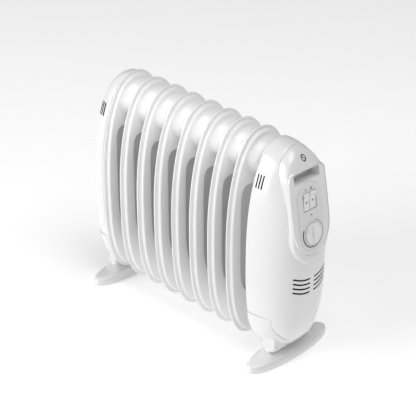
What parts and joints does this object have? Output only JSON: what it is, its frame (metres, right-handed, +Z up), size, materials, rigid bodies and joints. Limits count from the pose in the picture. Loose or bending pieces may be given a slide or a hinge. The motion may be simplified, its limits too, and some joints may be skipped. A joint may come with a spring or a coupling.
{
  "type": "oil filled radiator heater",
  "caption": "Small free-standing oil filled radiator heater: a row of pressed steel fins between moulded end covers, with a tilted panel of rockers and a knob, on cross feet.",
  "frame": {"origin": "on the floor, under the middle of the whole heater's box", "axes": "+X along the row of fins towards the control end, +Y across the fins to the right-hand side of the control panel as the user faces it, +Z up"},
  "size_m": [0.4039, 0.16, 0.3395],
  "materials": {
    "enamelled_steel": "semi-gloss white enamel",
    "white_plastic": "gloss moulded",
    "panel_plastic": "fine matte, light grey",
    "fascia_plastic": "satin, light grey",
    "knob_plastic": "satin, pale grey",
    "rocker_plastic": "satin, pale grey",
    "red_lens": "clear red",
    "rubber": "matte",
    "zinc_plated_steel": "bright zinc plate",
    "heating_tube": "annealed steel",
    "black_plastic": "matte black",
    "lead_sleeve": "silicone sleeve"
  },
  "bodies": {
    "heater": {"element_1_rear_sheet": "enamelled_steel", "element_1_front_sheet": "enamelled_steel", "element_2_rear_sheet": "enamelled_steel", "element_2_front_sheet": "enamelled_steel", "element_3_rear_sheet": "enamelled_steel", "element_3_front_sheet": "enamelled_steel", "element_4_rear_sheet": "enamelled_steel", "element_4_front_sheet": "enamelled_steel", "element_5_rear_sheet": "enamelled_steel", "element_5_front_sheet": "enamelled_steel", "element_6_rear_sheet": "enamelled_steel", "element_6_front_sheet": "enamelled_steel", "element_7_rear_sheet": "enamelled_steel", "element_7_front_sheet": "enamelled_steel", "element_8_rear_sheet": "enamelled_steel", "element_8_front_sheet": "enamelled_steel", "end_plate": "enamelled_steel", "front_cover": "white_plastic", "rear_cover": "white_plastic", "front_skirt": "white_plastic", "rear_skirt": "white_plastic", "control_hood": "white_plastic", "front_foot": "white_plastic", "rear_foot": "white_plastic", "control_panel": "panel_plastic", "fascia": "fascia_plastic", "front_foot_pads": "rubber", "rear_foot_pads": "rubber", "flange_gasket": "rubber", "front_bracket": "zinc_plated_steel", "rear_bracket": "zinc_plated_steel", "rocker_pivot_pin": "zinc_plated_steel", "element_flange": "zinc_plated_steel", "oil_filler_plug": "zinc_plated_steel", "front_foot_screws": "zinc_plated_steel", "rear_foot_screws": "zinc_plated_steel", "rear_cover_screws": "zinc_plated_steel", "heating_element": "heating_tube", "cord_gland": "black_plastic", "switch_body": "black_plastic", "thermostat_body": "black_plastic", "terminal_block": "black_plastic", "thermal_cutout": "black_plastic", "supply_lead": "lead_sleeve", "element_lead": "lead_sleeve", "switch_lead": "lead_sleeve"},
    "thermostat": {"thermostat_knob": "knob_plastic", "thermostat_shaft": "zinc_plated_steel"},
    "left_switch": {"left_rocker": "rocker_plastic", "left_rocker_lens": "red_lens"},
    "right_switch": {"right_rocker": "rocker_plastic", "right_rocker_lens": "red_lens"}
  },
  "joints": [
    {"name": "knob_turn", "type": "hinge", "parent": "heater", "child": "thermostat", "pos_m": [0.19281, 0, 0.21372], "axis": [-0.9857, 0, -0.1685], "range_deg": [0, 270]},
    {"name": "left_rocker_tilt", "type": "hinge", "parent": "heater", "child": "left_switch", "pos_m": [0.17983, -0.0062, 0.26], "axis": [0, -1, 0], "range_deg": [0, 14]},
    {"name": "right_rocker_tilt", "type": "hinge", "parent": "heater", "child": "right_switch", "pos_m": [0.17983, 0.0062, 0.26], "axis": [0, -1, 0], "range_deg": [0, 14]}
  ]
}
